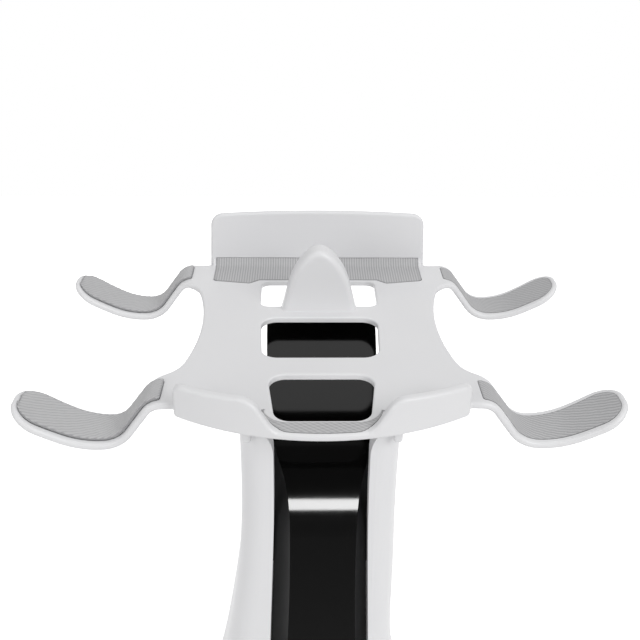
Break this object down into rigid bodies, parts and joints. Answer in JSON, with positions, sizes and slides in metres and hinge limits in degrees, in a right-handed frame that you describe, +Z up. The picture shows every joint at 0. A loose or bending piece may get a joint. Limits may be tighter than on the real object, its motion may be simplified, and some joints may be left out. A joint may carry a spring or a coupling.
{
  "type": "headset and controller stand",
  "caption": "Free-standing desktop stand: a flared column carries a tray with a nose hump and back plate for a headset and four padded arms for hand controllers.",
  "frame": {"origin": "centre of the object's box, on the surface that it stands on", "axes": "+X to the right seen from the front, +Y from the front to the back plate, +Z up"},
  "size_m": [0.242, 0.1926, 0.2697],
  "materials": {
    "white_shell": "satin moulded",
    "gloss_front": "piano black gloss",
    "dark_liner": "fine satin",
    "grey_pad": "soft matt with moulded ribs",
    "foot_rubber": "matt",
    "screw_steel": "plated"
  },
  "bodies": {
    "root": {"tray": "white_shell", "column_shell": "white_shell", "base_shell": "white_shell", "column_panel": "gloss_front", "column_liner": "dark_liner", "base_cover": "dark_liner", "rear_pad": "grey_pad", "front_pad": "grey_pad", "arm_pad_front_left": "grey_pad", "arm_pad_front_right": "grey_pad", "arm_pad_rear_left": "grey_pad", "arm_pad_rear_right": "grey_pad", "foot_front_left": "foot_rubber", "foot_front_right": "foot_rubber", "foot_rear_left": "foot_rubber", "foot_rear_right": "foot_rubber", "tray_screws": "screw_steel", "column_screws": "screw_steel", "cover_screws": "screw_steel"}
  },
  "joints": []
}
